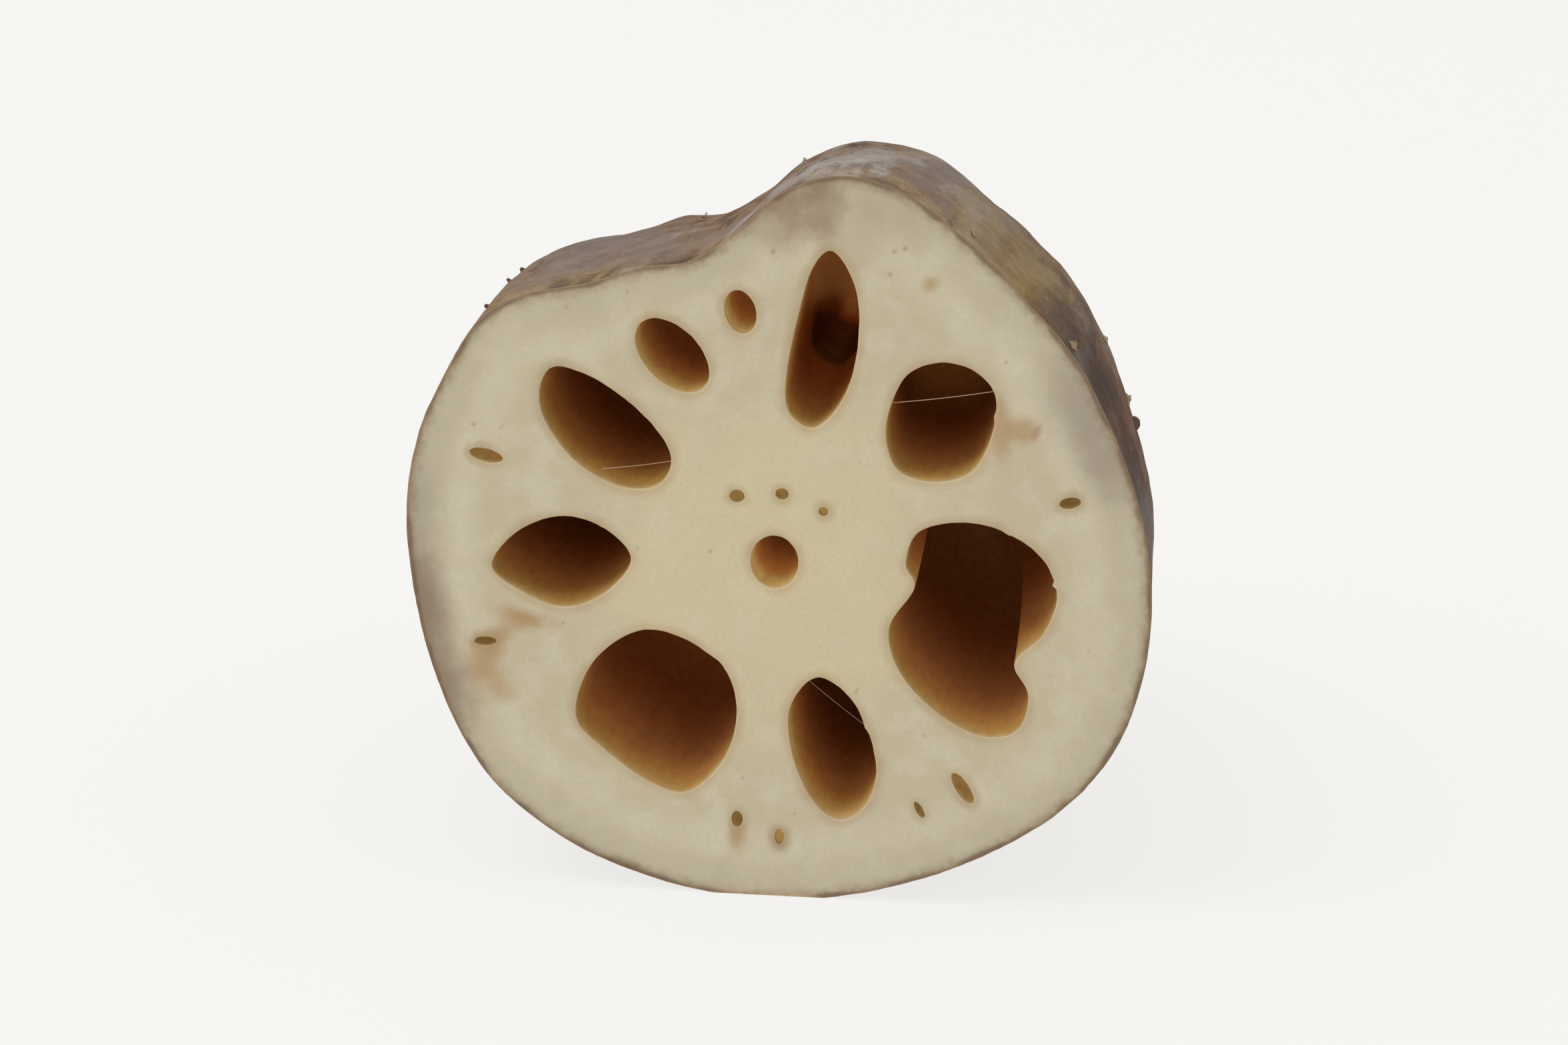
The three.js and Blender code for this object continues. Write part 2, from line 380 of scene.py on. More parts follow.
def addChannel(loop, depth, steps, area, index, count, glow):
    # the wall of a blind channel or pore. Gives the ring that the face is joined to
    normals, waves, centre = outwardNormals(loop), faceWave(loop), loop.mean(axis=0)
    ragged = raggedRim(loop, normals)
    near, far = glow
    left, bottom, width, height = sheet[area]
    strip, sides = width / count, len(loop)
    stripLeft, stripWidth = (share * strip for share in stripShare)

    def ringAt(distance, offset, rimDistance):
        closing = max(0, distance / depth - form["straightShare"]) / (1 - form["straightShare"])
        size = max(form["smallestEnd"], sqrt(max(0, 1 - closing ** 2)))
        share = 1 - form["channelTaper"] * (1 - taperAt(distance))
        torn = ragged * exp(-distance / body["tearDepth"])
        flat = loop + normals * (offset + torn)[:, None]
        flat = ((flat - centre) * size + centre) * share
        placed = placeAt(flat, distance)
        placed[:, 1] += waves * exp(-distance / body["waveDepth"])
        lit = near * smooth(distance, *throughLight["nearStart"])
        lit *= exp(-distance / throughLight["nearReach"])
        lit += far * smooth(distance / depth, *throughLight["farReach"])
        if area == "channels" and index == 0:
            lit = lit + lightFromAbove(loop[:, 1], distance)
        return addPoints(placed, rimDistance=rimDistance, glow=lit), flat

    def onWall(ids, distance):
        level = bottom + height * (1 - sqrt(distance / depth))
        return ids, onStrip(sides, left + strip * index + stripLeft, stripWidth, level)

    rimShare = min(1, perimeterOf(loop) / body["fullRimPerimeter"])
    rims = [ringAt(deep * rimShare, out * rimShare, max(out, 0) * rimShare)
            for out, deep in body["holeRim"]]
    for front, rear in zip(rims, rims[1:]):
        bridge(onRim(*rear), onRim(*front), fleshSlot)
    last = onWall(rims[-1][0], body["holeRim"][-1][1])
    for step in range(1, steps + 1):
        distance = depth * sin(pi / 2 * (step / steps) ** body["stepPower"])
        ring = onWall(ringAt(distance, 0, 0)[0], distance)
        bridge(ring, last, fleshSlot)
        last = ring
    ids = last[0]
    blindEnd = np.array([mesh["points"][i] for i in ids]).mean(axis=0)
    middle = addPoints(blindEnd[None], glow=far)[0]
    place = (left + strip * (index + 0.5), bottom)
    for i in range(sides):
        addFace((ids[(i + 1) % sides], ids[i], middle), [place] * 3, fleshSlot)
    return rims[0]


skinOutline = splineLoop(skinCorners, body["skinSpacing"])
meanRadius = norm(skinOutline, axis=1).mean()
skinSides = len(skinOutline)


def skinFlat(distance):
    # the skin's ring at a distance, before it is moved to the curved axis
    radius = norm(skinOutline, axis=1)
    rounding = form["oldCutRoundness"] * float(smooth(distance, form["roundingStart"], rootLength))
    rounded = radius + (meanRadius - radius) * rounding
    direction = skinOutline / radius[:, None]
    return direction * (rounded * taperAt(distance) + skinRelief(direction, distance))[:, None]


def skinRelief(direction, distance):
    around = direction * meanRadius

    def spots(across, along):
        level = np.full(len(around), distance / along)
        return np.column_stack([around[:, 0] / across, level, around[:, 1] / across])

    height = noiseOn(spots(*skinFold["ridges"]), skinFold["ridgeHeights"])
    height += noiseOn(spots(1, 1), skinFold["bumps"])
    angle = np.degrees(np.arctan2(direction[:, 1], direction[:, 0]))
    level = smooth(distance, *skinFold["swellRise"]) * (1 - smooth(distance, *skinFold["swellFall"]))
    for middle, reach, swell in skinFold["swells"]:
        height += level * swell * np.exp(-(((angle - middle) / reach) ** 2))
    wrinkled = smooth(distance, skinFold["wrinkleStart"], rootLength)
    if wrinkled > 0:
        folds = noiseOn(spots(*skinFold["wrinkles"]), [(1, 1, 11)])
        height -= skinFold["wrinkleDepth"] * wrinkled * np.clip(1 - 3 * np.abs(folds), 0, 1)
    return height * smooth(distance, 0, skinFold["fadeIn"])


def dentAt(flat):
    # how deep the old cut is dimpled where the channels have closed, 0 to 1
    deepest = np.clip(1 - (norm(flat, axis=1) / dimples["middle"]) ** 2, 0, 1)
    for i in range(dimples["count"]):
        angle = 2 * pi * i / dimples["count"]
        outward = np.array([sin(angle), cos(angle)])
        across = np.array([outward[1], -outward[0]])
        away = flat - outward * dimples["ringRadius"]
        reach = (away @ across / dimples["half"][0]) ** 2 + (away @ outward / dimples["half"][1]) ** 2
        deepest = np.maximum(deepest, np.clip(1 - reach, 0, 1))
    return smooth(deepest, 0, 1)


def addSkin():
    # the side of the root, from the fresh cut's edge to the old cut's edge
    normals, waves = outwardNormals(skinOutline), faceWave(skinOutline)
    ragged = noiseOn(skinOutline, body["skinTear"])

    def ringAt(flat, distance, wave, skinDistance):
        placed = placeAt(flat, distance)
        placed[:, 1] += wave
        placed[:, 2] = np.maximum(placed[:, 2], 0)  # the belly lies flat on the floor
        return addPoints(placed, rimDistance=farOff, skinDistance=skinDistance)

    rims = []
    for offset, deep in body["skinRim"]:
        torn = ragged * smooth(offset, *body["skinTearReach"])
        flat = skinOutline + normals * (offset + torn)[:, None]
        rims.append((ringAt(flat, deep, waves, abs(offset)), flat))
    for front, rear in zip(rims, rims[1:]):
        bridge(onRim(*front), onRim(*rear), fleshSlot)

    # even steps along the curved profile
    fine = np.linspace(0, rootLength - body["oldRim"][0][1], body["profileSteps"])
    run = np.concatenate([[0], np.cumsum(np.hypot(np.diff(fine), np.diff(meanRadius * taperAt(fine))))])
    stepCount = round(run[-1] / body["skinSpacing"])
    distances = np.interp(np.linspace(0, run[-1], stepCount + 1), run, fine)[1:]
    oldRim = [(rootLength - deep, inset) for inset, deep in body["oldRim"]]
    left, bottom, width, height = sheet["skin"]

    def onSkin(ids, share):
        return ids, onStrip(skinSides, left, width, bottom + height * (skinShare[0] - skinShare[1] * share))

    share = 0
    last = onSkin(rims[-1][0], share)
    for distance, inset in [(distance, 0) for distance in distances] + oldRim[1:]:
        flat = skinFlat(distance)
        flat *= (1 + inset / norm(flat, axis=1))[:, None]
        share = min(1, np.interp(distance, fine, run) / run[-1]) if inset == 0 else share + oldRimShare
        ids = ringAt(flat, distance, waves * exp(-distance / body["waveDepth"]), 0)
        ring = onSkin(ids, share)
        bridge(last, ring, skinSlot if inset > body["skinEnd"] else oldCutSlot)
        last = ring
    return rims[0], (last[0], flat)


def addFreshCut(outer, holes):
    # the fresh cut, joined to the rims of the skin and of every channel
    loops = [flat for _, flat in (outer, *holes)]
    settled = [np.maximum(flat, (-inf, -form["axisHeight"])) for flat in loops]
    grid, triangles = fillFlat(settled[0], settled[1:], body["faceSpacing"], body["seed"])
    placed = placeAt(grid, 0)
    placed[:, 1] += faceWave(grid)
    inner = addPoints(placed,
                      rimDistance=distanceTo(grid, np.concatenate(settled[1:])) + body["holeRim"][0][0],
                      skinDistance=distanceTo(grid, settled[0]) - body["skinRim"][0][0])
    ids = np.concatenate([ring for ring, _ in (outer, *holes)] + [inner])
    addTriangles(triangles, ids, np.concatenate(settled + [grid]), "face", fleshSlot)


def addOldCut(outer):
    # the dried cut at the rear, with shallow dimples where the channels closed
    ring, flat = outer
    grid, triangles = fillFlat(flat, [], body["oldFaceSpacing"], body["seed"] + 1)
    sunk, sunkInside = body["oldHollow"]
    inward = distanceTo(grid, flat)
    dent = dentAt(grid)
    placed = placeAt(grid, rootLength)
    relief = noiseOn(grid, body["oldRelief"]) - sunk
    placed[:, 1] += np.clip(inward / sunkInside, 0, 1) * relief - dimples["depth"] * dent
    inner = addPoints(placed, rimDistance=farOff, skinDistance=inward, dent=dent)
    addTriangles(triangles[:, ::-1], np.concatenate([ring, inner]), np.concatenate([flat, grid]),
                 "oldCut", oldCutSlot)


def makeMeshObject(name, points, faces, sharpAngle):
    # points in metres. Edges over the sharp angle stay sharp
    data = bpy.data.meshes.new(name)
    data.from_pydata(np.asarray(points).tolist(), [], faces)
    data.polygons.foreach_set("use_smooth", [True] * len(data.polygons))
    data.set_sharp_from_angle(angle=radians(sharpAngle))
    piece = bpy.data.objects.new(name, data)
    bpy.context.scene.collection.objects.link(piece)
    return piece


def buildRoot():
    front, rear = addSkin()
    wide = [(splineLoop(corners, body["channelSpacing"]), form["channelDepth"],
             body["channelSteps"]) for corners in channelCorners]
    wide += [(ovalLoop(*oval), depth, body["poreSteps"]) for *oval, depth in ovalPores]
    fine = [(ovalLoop(*oval), form["pitDepth"], body["pitSteps"]) for oval in finePores]
    pitLight = [(light, light / 2) for light in throughLight["pits"]]
    holes = []
    for area, group, lights in (("channels", wide, throughLight["channels"]), ("pits", fine, pitLight)):
        for index, (hole, light) in enumerate(zip(group, lights)):
            holes.append(addChannel(*hole, area, index, len(group), light))
    addFreshCut(front, holes)
    addOldCut(rear)
    root = makeMeshObject("cut_root", np.array(mesh["points"]) * mm, mesh["faces"], sharpAngle=50)
    root.data.polygons.foreach_set("material_index", mesh["materials"])
    places = [value for place in mesh["maps"] for value in place]
    root.data.uv_layers.new(name="OFBake").data.foreach_set("uv", places)
    for name in pointValues:
        root.data.attributes.new(name, "FLOAT", "POINT").data.foreach_set("value", mesh[name])
    return root


cutRoot = buildRoot()
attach(cutRoot, "root")
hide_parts("lotus_root")
triangleCount = sum(len(face) - 2 for face in mesh["faces"])
print("root mesh built,", triangleCount, "triangles")

silk = {
    "sides": 6,
    "steps": 10,
    "sunk": 0.5,  # how far an end runs into the wall
    # across a hole: start and end as (x, z), depth of both behind the fresh cut, sag, radius
    "threads": [((12.3, 17.3), (22.7, 18.8), 0.5, 0.9, 0.12, 0.034),
                ((-17.6, 9.2), (-11.2, 10.2), 0.6, 0.4, 0.08, 0.03),
                ((3.9, -13.2), (9.9, -18), 0.9, 1.4, 0.1, 0.016)],
    "strandRadius": 0.06,
    # lying on the skin: direction and distance of both ends
    "strands": [((94.6, 1.4), (91.4, 0.9)), ((95.6, 2.2), (94.9, 1.8))],
}
stubs = {
    # direction, distance, height, width against the common one
    "places": [(143, 11, 0.35, 0.8), (140.5, 18, 0.4, 0.7), (140, 26, 0.35, 0.8), (14.5, 29, 0.55, 1.9),
               (158, 40, 0.5, 0.9)],
    "nearNode": 7,
    "nodeDirections": (-38, 218),  # the belly has none
    "nodeJitter": 0.35,
    "nodeBand": (78, 86),
    "nodeHeights": (0.4, 1.1),
    "sides": 8,
    "sunk": 0.6,
    "baseRadius": 0.5,
    "profile": [(0, 1.3), (0.15, 1.15), (0.4, 0.9), (0.75, 0.7), (1, 0.4)],
    "unevenness": (0.85, 1.15),
    "lean": 0.35,
    "seed": 7,
}
flakes = {
    # direction, distance, half length, half width
    "places": [(37.5, 3, 0.9, 0.6), (60, 5, 1.3, 0.35)],
    "count": 22,
    # spans that the others are drawn from, in the same order
    "spans": [(-25, 205), (30, 82), (0.5, 2.2), (0.2, 0.55)],
    "thickness": 0.06,
    "lift": 0.04,
    "curl": (0.15, 0.5),
    "raggedness": (0.65, 1.2),
    "rings": 3,
    "sides": 14,
    "seed": 21,
}


def skinSpot(angle, distance):
    # a point of the skin in a direction from the axis, with the ways out, around and along
    turn = radians(angle)
    facing = skinOutline @ np.array([cos(turn), sin(turn)])
    i = int(np.argmax(facing / norm(skinOutline, axis=1)))
    step = 0.4
    before, here, after = (placeAt(skinFlat(distance + way), distance + way) for way in (-step, 0, step))
    around = here[(i + 1) % skinSides] - here[i - 1]
    along = after[i] - before[i]
    out = np.cross(around, along)
    return here[i], *(way / norm(way) for way in (out, around, along))


def tubeRings(path, radii, sides, closeBy):
    # rings round a path, with the first side of each turned to closeBy
    angle = 2 * pi * np.arange(sides)[:, None] / sides
    rings = []
    for centre, way, radius in zip(path, np.gradient(path, axis=0), radii):
        way = way / norm(way)
        across = np.cross(way, closeBy)
        across /= norm(across)
        rings.append(centre + radius * (np.cos(angle) * across + np.sin(angle) * np.cross(way, across)))
    return rings


def makePiece(name, shells):
    # closed shells, each as its rings, counterclockwise round the way along them, and the middles of
    # its two ends. An end without a middle is flat
    points, faces = [], []
    for rings, middles in shells:
        sides, first = len(rings[0]), len(points)
        last = first + (len(rings) - 1) * sides
        points.extend(np.concatenate(rings))
        for ring in range(first, last, sides):
            for i in range(sides):
                a, b = ring + i, ring + (i + 1) % sides
                faces.append([a, b, b + sides, a + sides])
        ends = [list(range(first, first + sides))[::-1], list(range(last, last + sides))]
        if not middles:
            faces.extend(ends)
        for end, middle in zip(ends, middles):
            faces.extend([len(points), end[i - 1], end[i]] for i in range(sides))
            points.append(middle)
    piece = makeMeshObject(name, np.array(points) * mm, faces, sharpAngle=60)
    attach(piece, "root")
    return piece


def buildSilk():
    shells = []
    share = np.linspace(0, 1, silk["steps"])[:, None]
    depthWay = np.array([0, 1, 0.01])
    for start, end, startDepth, endDepth, sag, radius in silk["threads"]:
        start, end = np.array(start), np.array(end)
        reach = silk["sunk"] * (end - start) / norm(end - start)
        flat = (start - reach) + share * (end - start + 2 * reach)
        flat[:, 1] -= sag * (4 * share * (1 - share))[:, 0]
        path = placeAt(flat, 0)
        path[:, 1] += (startDepth + share * (endDepth - startDepth))[:, 0]
        shells.append((tubeRings(path, [radius] * len(path), silk["sides"], depthWay), ()))
    for start, end in silk["strands"]:
        spots = [skinSpot(*(a + t * (b - a) for a, b in zip(start, end))) for t in share[:, 0]]
        path = np.array([spot + out * silk["strandRadius"] for spot, out, _, _ in spots])
        radii = [silk["strandRadius"]] * len(path)
        shells.append((tubeRings(path, radii, silk["sides"], depthWay), ()))
    return makePiece("silk_threads", shells)


def buildStubs():
    # broken rootlets: a few on the skin and a sparse row of them towards the node
    draw = random.Random(stubs["seed"])
    places = list(stubs["places"])
    low, high = stubs["nodeDirections"]
    for i in range(stubs["nearNode"]):
        middle = i + 0.5 + draw.uniform(-stubs["nodeJitter"], stubs["nodeJitter"])
        height = draw.uniform(*stubs["nodeHeights"])
        angle = low + (high - low) * middle / stubs["nearNode"]
        places.append((angle, draw.uniform(*stubs["nodeBand"]), height, sqrt(height)))
    shells = []
    for angle, distance, height, width in places:
        spot, out, around, along = skinSpot(angle, distance)
        lean = around * draw.uniform(-1, 1) + along * draw.uniform(-1, 1)
        path, radii = [], []
        for rise, size in stubs["profile"]:
            risen = (out + stubs["lean"] * rise * lean) * height * rise
            path.append(spot - out * stubs["sunk"] * (1 - rise) + risen)
            radii.append(stubs["baseRadius"] * size * width * draw.uniform(*stubs["unevenness"]))
        shells.append((tubeRings(np.array(path), radii, stubs["sides"], along), ()))
    return makePiece("root_stubs", shells)


def buildFlakes():
    # dry scraps of the outer skin that have come loose at one end
    draw = random.Random(flakes["seed"])
    places = [[draw.uniform(*span) for span in flakes["spans"]] for _ in range(flakes["count"])]
    turn = 2 * pi * np.arange(flakes["sides"])[:, None] / flakes["sides"]
    shells = []
    for angle, distance, halfLength, halfWidth in flakes["places"] + places:
        spot, out, around, along = skinSpot(angle, distance)
        curl = draw.uniform(*flakes["curl"])
        ragged = np.array([[draw.uniform(*flakes["raggedness"])] for _ in turn])

        def ringAt(share, height):
            reach = share * (1 + (ragged - 1) * share)
            u, v = np.cos(turn) * reach, halfWidth * np.sin(turn) * reach
            lift = height + flakes["lift"] + curl * np.maximum(0, u) ** 2 - v ** 2 / (2 * meanRadius)
            return (spot + along * u * halfLength + around * v + out * lift)[::-1]

        thickness = flakes["thickness"]
        shares = [ring / flakes["rings"] for ring in range(1, flakes["rings"] + 1)]
        rings = [ringAt(share, 0) for share in shares] + [ringAt(share, thickness) for share in shares[::-1]]
        shells.append((rings, (spot, spot + out * thickness)))
    return makePiece("skin_flakes", shells)


silkThreads, rootStubs, skinFlakes = buildSilk(), buildStubs(), buildFlakes()
print("silk, stubs and flakes built")


def paint(red, green, blue):
    # an sRGB colour as the linear one that shaders use
    linear = [((c / 255 + 0.055) / 1.055) ** 2.4 if c > 10 else c / 255 / 12.92 for c in (red, green, blue)]
    return (*linear, 1)


class Nodes:
    # adds shader nodes to one tree. A value may be a number, a tuple or the socket of another node

    def __init__(self, tree):
        self.tree = tree

    def feed(self, socket, value):
        if isinstance(value, bpy.types.NodeSocket):
            self.tree.links.new(value, socket)
        else:
            socket.default_value = value

    def add(self, kind, inputs, **settings):
        node = self.tree.nodes.new("ShaderNode" + kind)
        for name, value in settings.items():
            setattr(node, name, value)
        for name, value in inputs.items():
            self.feed(node.inputs[name], value)
        return node.outputs

    def group(self, effect, **inputs):
        return self.add("Group", inputs, node_tree=effect)

    def mask(self, effect, **inputs):
        return self.group(effect, **inputs)["Mask"]

    def clouds(self, vector, scale, detail, low, high):
        return self.mask(mottle, Vector=vector, Scale=scale, Detail=detail, Low=low, High=high)

    def attribute(self, name):
        return self.add("Attribute", {}, attribute_name=name)["Fac"]

    def calc(self, operation, a, b=0, clamp=False):
        return self.add("Math", {0: a, 1: b}, operation=operation, use_clamp=clamp)[0]

    def plus(self, a, b):
        return self.calc("ADD", a, b)

    def minus(self, a, b):
        return self.calc("SUBTRACT", a, b)

    def times(self, a, b):
        return self.calc("MULTIPLY", a, b)

    def shift(self, value, cloud, reach):
        # the value moved up and down by a noise that goes from 0 to 1
        return self.plus(value, self.times(self.minus(cloud, 0.5), reach))

    def fade(self, value, low, high, start=0, end=1):
        # from start to end, softly, while the value goes from low to high
        return self.add("MapRange", {"Value": value, "From Min": low, "From Max": high, "To Min": start,
                                     "To Max": end}, interpolation_type="SMOOTHSTEP")["Result"]

    def vector(self, operation, a, b=(0, 0, 0)):
        return self.add("VectorMath", {0: a, 1: b}, operation=operation)

    def scaled(self, vector, factor):
        return self.add("VectorMath", {0: vector, "Scale": factor}, operation="SCALE")[0]

    def noise(self, vector, size, detail=2, roughness=0.5):
        return self.add("TexNoise", {"Vector": vector, "Scale": 1 / size, "Detail": detail,
                                     "Roughness": roughness})["Fac"]

    def mix(self, mask, under, over, mode="MIX"):
        return self.add("Mix", {0: mask, 6: under, 7: over}, data_type="RGBA", blend_type=mode)[2]

    def coat(self, under, layers, colors, mode="MIX"):
        # colours laid over each other, each as its mask and its name
        for mask, name in layers:
            under = self.mix(mask, under, colors[name], mode)
        return under

    def ramp(self, value, stops):
        node = self.tree.nodes.new("ShaderNodeValToRGB")
        self.feed(node.inputs[0], value)
        elements = node.color_ramp.elements
        elements[0].position, elements[0].color = stops[0]
        elements[1].position, elements[1].color = stops[-1]
        for position, color in stops[1:-1]:
            elements.new(position).color = color
        return node.outputs[0]


def makeEffect(name, build, outputs, **inputs):
    # a node group. Inputs have their usual values, a float or a vector, or None for a vector that is
    # always given
    tree = bpy.data.node_groups.new(name, "ShaderNodeTree")
    for socketName, value in inputs.items():
        kind = "NodeSocketFloat" if type(value) is float else "NodeSocketVector"
        socket = tree.interface.new_socket(socketName, in_out="INPUT", socket_type=kind)
        if value is not None:
            socket.default_value = value
    for socketName, kind in outputs.items():
        tree.interface.new_socket(socketName, in_out="OUTPUT", socket_type="NodeSocket" + kind)
    n = Nodes(tree)
    into = tree.nodes.new("NodeGroupInput").outputs
    out = tree.nodes.new("NodeGroupOutput").inputs
    for socketName, value in build(n, into).items():
        n.feed(out[socketName], value)
    return tree


def placeOnRoot(n, into):
    # a place on the root in millimetres from the central pore on the fresh cut
    origin = (form["axisOffset"], -rootLength / 2, form["axisHeight"])
    coords = n.add("TexCoord", {})["Object"]
    spot = n.vector("SUBTRACT", n.vector("MULTIPLY", coords, (1 / mm,) * 3)[0], origin)[0]
    parts = n.add("SeparateXYZ", {"Vector": spot})
    flat = n.add("CombineXYZ", {"X": parts["X"], "Y": 0, "Z": parts["Z"]})[0]
    return {"Spot": spot, "Depth": parts["Y"], "Radius": n.vector("LENGTH", flat)["Value"],
            "Stretched": n.vector("MULTIPLY", spot, (1, 0.24, 1))[0],
            "Heading": n.vector("NORMALIZE", flat)[0]}


def mottleMask(n, into):
    # soft cloudy blotches between two levels
    cloud = n.add("TexNoise", {"Vector": into["Vector"], "Scale": into["Scale"], "Detail": into["Detail"],
                               "Roughness": 0.58})["Fac"]
    return {"Mask": n.fade(cloud, into["Low"], into["High"])}


def specksMask(n, into):
    # small uneven dots, larger and smaller, some of the cells left empty
    jitter = n.add("TexNoise", {"Vector": into["Vector"], "Scale": n.times(into["Scale"], 2.5),
                                "Detail": 1})["Color"]
    bent = n.vector("SUBTRACT", jitter, (0.5, 0.5, 0.5))[0]
    bent = n.scaled(bent, n.calc("DIVIDE", 0.45, into["Scale"]))
    cells = n.add("TexVoronoi", {"Vector": n.vector("ADD", into["Vector"], bent)[0], "Scale": into["Scale"]})
    kind = n.add("SeparateColor", {"Color": cells["Color"]})
    size = n.times(into["Size"], n.fade(kind["Red"], 0, 1, 0.4, 1.2))
    dot = n.calc("SUBTRACT", 1, n.calc("DIVIDE", cells["Distance"], size), True)
    chosen = n.calc("LESS_THAN", kind["Green"], into["Amount"])
    return {"Mask": n.times(n.fade(dot, 0, 0.5), chosen)}


def stainMask(n, into):
    # a ragged oval on the fresh cut. Its edge is inside and a little outside of the oval
    away = n.vector("SUBTRACT", into["Vector"], into["Centre"])[0]
    turned = n.add("VectorRotate", {"Vector": away, "Axis": (0, 1, 0), "Angle": into["Turn"]})[0]
    parts = n.add("SeparateXYZ", {"Vector": turned})
    across = n.calc("POWER", n.calc("DIVIDE", parts["X"], into["HalfWidth"]), 2)
    up = n.calc("POWER", n.calc("DIVIDE", parts["Z"], into["HalfHeight"]), 2)
    reach = n.calc("SQRT", n.plus(across, up))
    reach = n.shift(reach, into["Wobble"], n.times(into["Ragged"], 2.4))
    outer = n.plus(1, n.times(into["Edge"], 0.4))
    return {"Mask": n.fade(reach, n.minus(1, into["Edge"]), outer, 1, 0)}


def sectorMask(n, into):
    # a wedge of directions from the root's axis that fades out to both sides
    facing = n.vector("DOT_PRODUCT", into["Heading"], into["Middle"])["Value"]
    return {"Mask": n.fade(facing, into["Wide"], into["Narrow"])}


onlyMask = {"Mask": "Float"}
rootPlace = makeEffect("rootPlace", placeOnRoot, {"Spot": "Vector", "Depth": "Float", "Radius": "Float",
                                                  "Stretched": "Vector", "Heading": "Vector"})
mottle = makeEffect("mottle", mottleMask, onlyMask, Vector=None, Scale=1.0, Detail=4.0, Low=0.4, High=0.6)
specks = makeEffect("specks", specksMask, onlyMask, Vector=None, Scale=1.0, Size=0.25, Amount=0.5)
stain = makeEffect("stain", stainMask, onlyMask, Vector=None, Centre=(0, 0, 0), HalfWidth=1.0, HalfHeight=1.0,
                   Turn=0.0, Wobble=0.5, Ragged=0.3, Edge=0.5)
sector = makeEffect("sector", sectorMask, onlyMask, Heading=None, Middle=(1, 0, 0), Wide=0.7, Narrow=0.95)


def startMaterial(name):
    material = bpy.data.materials.new(name)
    material.use_nodes = True
    return material, Nodes(material.node_tree), material.node_tree.nodes["Principled BSDF"].inputs


def paintsOf(finish):
    return {name: paint(*tint) for name, tint in finish.items() if type(tint) is tuple}


def setSurface(n, shader, color, roughness, specular, bump=None):
    # a bump is its strength, its distance in metres and its height
    n.feed(shader["Base Color"], color)
    n.feed(shader["Roughness"], roughness)
    shader["Specular IOR Level"].default_value = specular
    if bump:
        inputs = dict(zip(("Strength", "Distance", "Height"), bump))
        n.feed(shader["Normal"], n.add("Bump", inputs)[0])


def ovalStain(n, spot, wobble, oval, ragged, edge):
    x, z, halfWidth, halfHeight, turn = oval
    return n.mask(stain, Vector=spot, Centre=(x, 0, z), HalfWidth=halfWidth, HalfHeight=halfHeight,
                  Turn=radians(turn), Wobble=wobble, Ragged=ragged, Edge=edge)


fleshFinish = {
    "warm": (202, 190, 157),
    "cool": (192, 181, 154),
    "pale": (204, 197, 174),
    "outer": (174, 168, 148),
    "haze": (142, 118, 92),
    "mauve": (138, 118, 98),
    # violet: at the left rim, and as painted shade on the right of the face
    "violet": (146, 132, 120),
    "tan": (168, 136, 92),
    "skinTan": (132, 114, 84),
    "brown": (142, 104, 72),
    "rimHalo": (154, 130, 92),
    "skinLine": (92, 74, 56),
    "dot": (140, 118, 78),
    "grain": (170, 155, 115),
    "streak": (92, 56, 30),
    # painted shade for the dark lower wall of the top channel
    "unlit": (92, 60, 52),
    "roughness": 0.52,
    "softness": 0.6,
    "glowDepth": 0.003,  # metres that light travels in the flesh
    "lightReach": [0.8, 0.45, 0.24],  # shares of it in red, green and blue
    # wall colour by depth in millimetres
    "walls": [(0, (205, 186, 145)), (0.8, (196, 166, 106)), (2.5, (196, 154, 84)), (6, (208, 155, 86)),
              (12, (220, 162, 100)), (30, (226, 168, 114)), (72, (226, 170, 116))],
    # colours of the painted glow in the channels and in the fine pores
    "glow": (98, 70, 36),
    "pitGlow": (92, 82, 52),
}
